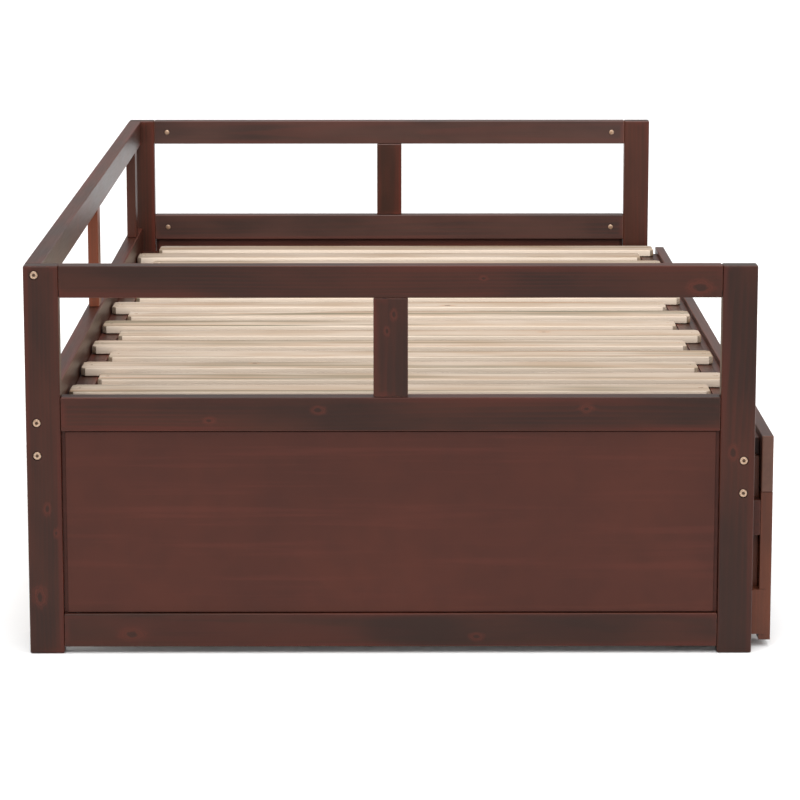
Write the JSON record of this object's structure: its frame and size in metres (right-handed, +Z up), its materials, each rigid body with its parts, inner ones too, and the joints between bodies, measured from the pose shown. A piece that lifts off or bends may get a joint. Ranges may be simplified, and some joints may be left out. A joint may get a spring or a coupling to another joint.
{
  "type": "extending daybed with trundle",
  "caption": "Wooden daybed with panelled ends and a low open back; a slatted front frame slides out to widen it and a low trundle rolls out from under it.",
  "frame": {"origin": "bottom centre of the closed bed's bounding box", "axes": "+X along the bed, +Y towards the open back rail, -Y the side that pulls out, +Z up"},
  "size_m": [1.975, 1.0362, 0.546],
  "materials": {
    "stained_frame": "espresso stain, satin lacquer",
    "stained_panel": "espresso stained board, satin lacquer",
    "stained_front": "espresso stain, satin lacquer",
    "pine_slats": "planed raw pine",
    "pine_bearers": "planed raw pine",
    "wheel_plastic": "moulded"
  },
  "bodies": {
    "bed": {"left_rear_post": "stained_frame", "left_front_post": "stained_frame", "left_top_rail": "stained_frame", "left_mid_rail": "stained_frame", "left_bottom_rail": "stained_frame", "left_divider": "stained_frame", "left_panel": "stained_panel", "right_rear_post": "stained_frame", "right_front_post": "stained_frame", "right_top_rail": "stained_frame", "right_mid_rail": "stained_frame", "right_bottom_rail": "stained_frame", "right_divider": "stained_frame", "right_panel": "stained_panel", "back_top_rail": "stained_frame", "back_bottom_rail": "stained_frame", "back_left_divider": "stained_frame", "back_centre_divider": "stained_frame", "back_right_divider": "stained_frame", "back_ledger": "stained_frame", "front_beam": "stained_frame", "left_runner": "pine_bearers", "right_runner": "pine_bearers", "fixed_slat_01": "pine_slats", "fixed_slat_02": "pine_slats", "fixed_slat_03": "pine_slats", "fixed_slat_04": "pine_slats", "fixed_slat_05": "pine_slats", "fixed_slat_06": "pine_slats", "fixed_slat_07": "pine_slats", "fixed_slat_08": "pine_slats", "fixed_slat_09": "pine_slats"},
    "extension": {"extension_front_rail": "stained_front", "extension_front_ledger": "stained_frame", "extension_crossbar": "pine_bearers", "extension_left_leg": "stained_front", "extension_right_leg": "stained_front", "extension_left_arm": "stained_frame", "extension_right_arm": "stained_frame", "sliding_slat_01": "pine_slats", "sliding_slat_02": "pine_slats", "sliding_slat_03": "pine_slats", "sliding_slat_04": "pine_slats", "sliding_slat_05": "pine_slats", "sliding_slat_06": "pine_slats", "sliding_slat_07": "pine_slats", "sliding_slat_08": "pine_slats", "sliding_slat_09": "pine_slats", "sliding_slat_10": "pine_slats"},
    "trundle": {"trundle_front": "stained_front", "trundle_back": "pine_bearers", "trundle_left_side": "pine_bearers", "trundle_right_side": "pine_bearers", "trundle_deck": "pine_bearers"},
    "extension_left_wheel": {"extension_left_wheel": "wheel_plastic"},
    "extension_right_wheel": {"extension_right_wheel": "wheel_plastic"},
    "trundle_front_left_wheel": {"trundle_front_left_wheel": "wheel_plastic"},
    "trundle_rear_left_wheel": {"trundle_rear_left_wheel": "wheel_plastic"},
    "trundle_front_right_wheel": {"trundle_front_right_wheel": "wheel_plastic"},
    "trundle_rear_right_wheel": {"trundle_rear_right_wheel": "wheel_plastic"}
  },
  "joints": [
    {"name": "extension_pull", "type": "slide", "parent": "bed", "child": "extension", "axis": [0, -1, 0], "range_m": [0, 0.845]},
    {"name": "trundle_roll", "type": "slide", "parent": "bed", "child": "trundle", "axis": [0, -1, 0], "range_m": [0, 0.9]},
    {"name": "extension_left_wheel_spin", "type": "hinge", "parent": "extension", "child": "extension_left_wheel", "pos_m": [-0.9195, -0.4396, 0.027], "axis": [1, 0, 0], "range_deg": [0, 1793.2]},
    {"name": "extension_right_wheel_spin", "type": "hinge", "parent": "extension", "child": "extension_right_wheel", "pos_m": [0.9195, -0.4396, 0.027], "axis": [1, 0, 0], "range_deg": [0, 1793.2]},
    {"name": "trundle_front_left_wheel_spin", "type": "hinge", "parent": "trundle", "child": "trundle_front_left_wheel", "pos_m": [-0.8745, -0.3916, 0.025], "axis": [1, 0, 0], "range_deg": [0, 2062.7]},
    {"name": "trundle_rear_left_wheel_spin", "type": "hinge", "parent": "trundle", "child": "trundle_rear_left_wheel", "pos_m": [-0.8745, 0.3331, 0.025], "axis": [1, 0, 0], "range_deg": [0, 2062.7]},
    {"name": "trundle_front_right_wheel_spin", "type": "hinge", "parent": "trundle", "child": "trundle_front_right_wheel", "pos_m": [0.8745, -0.3916, 0.025], "axis": [1, 0, 0], "range_deg": [0, 2062.7]},
    {"name": "trundle_rear_right_wheel_spin", "type": "hinge", "parent": "trundle", "child": "trundle_rear_right_wheel", "pos_m": [0.8745, 0.3331, 0.025], "axis": [1, 0, 0], "range_deg": [0, 2062.7]}
  ],
  "couplings": [
    {"joint": "extension_left_wheel_spin", "follows": "extension_pull", "rad_per_m": 37.037},
    {"joint": "extension_right_wheel_spin", "follows": "extension_pull", "rad_per_m": 37.037},
    {"joint": "trundle_front_left_wheel_spin", "follows": "trundle_roll", "rad_per_m": 40},
    {"joint": "trundle_rear_left_wheel_spin", "follows": "trundle_roll", "rad_per_m": 40},
    {"joint": "trundle_front_right_wheel_spin", "follows": "trundle_roll", "rad_per_m": 40},
    {"joint": "trundle_rear_right_wheel_spin", "follows": "trundle_roll", "rad_per_m": 40}
  ]
}
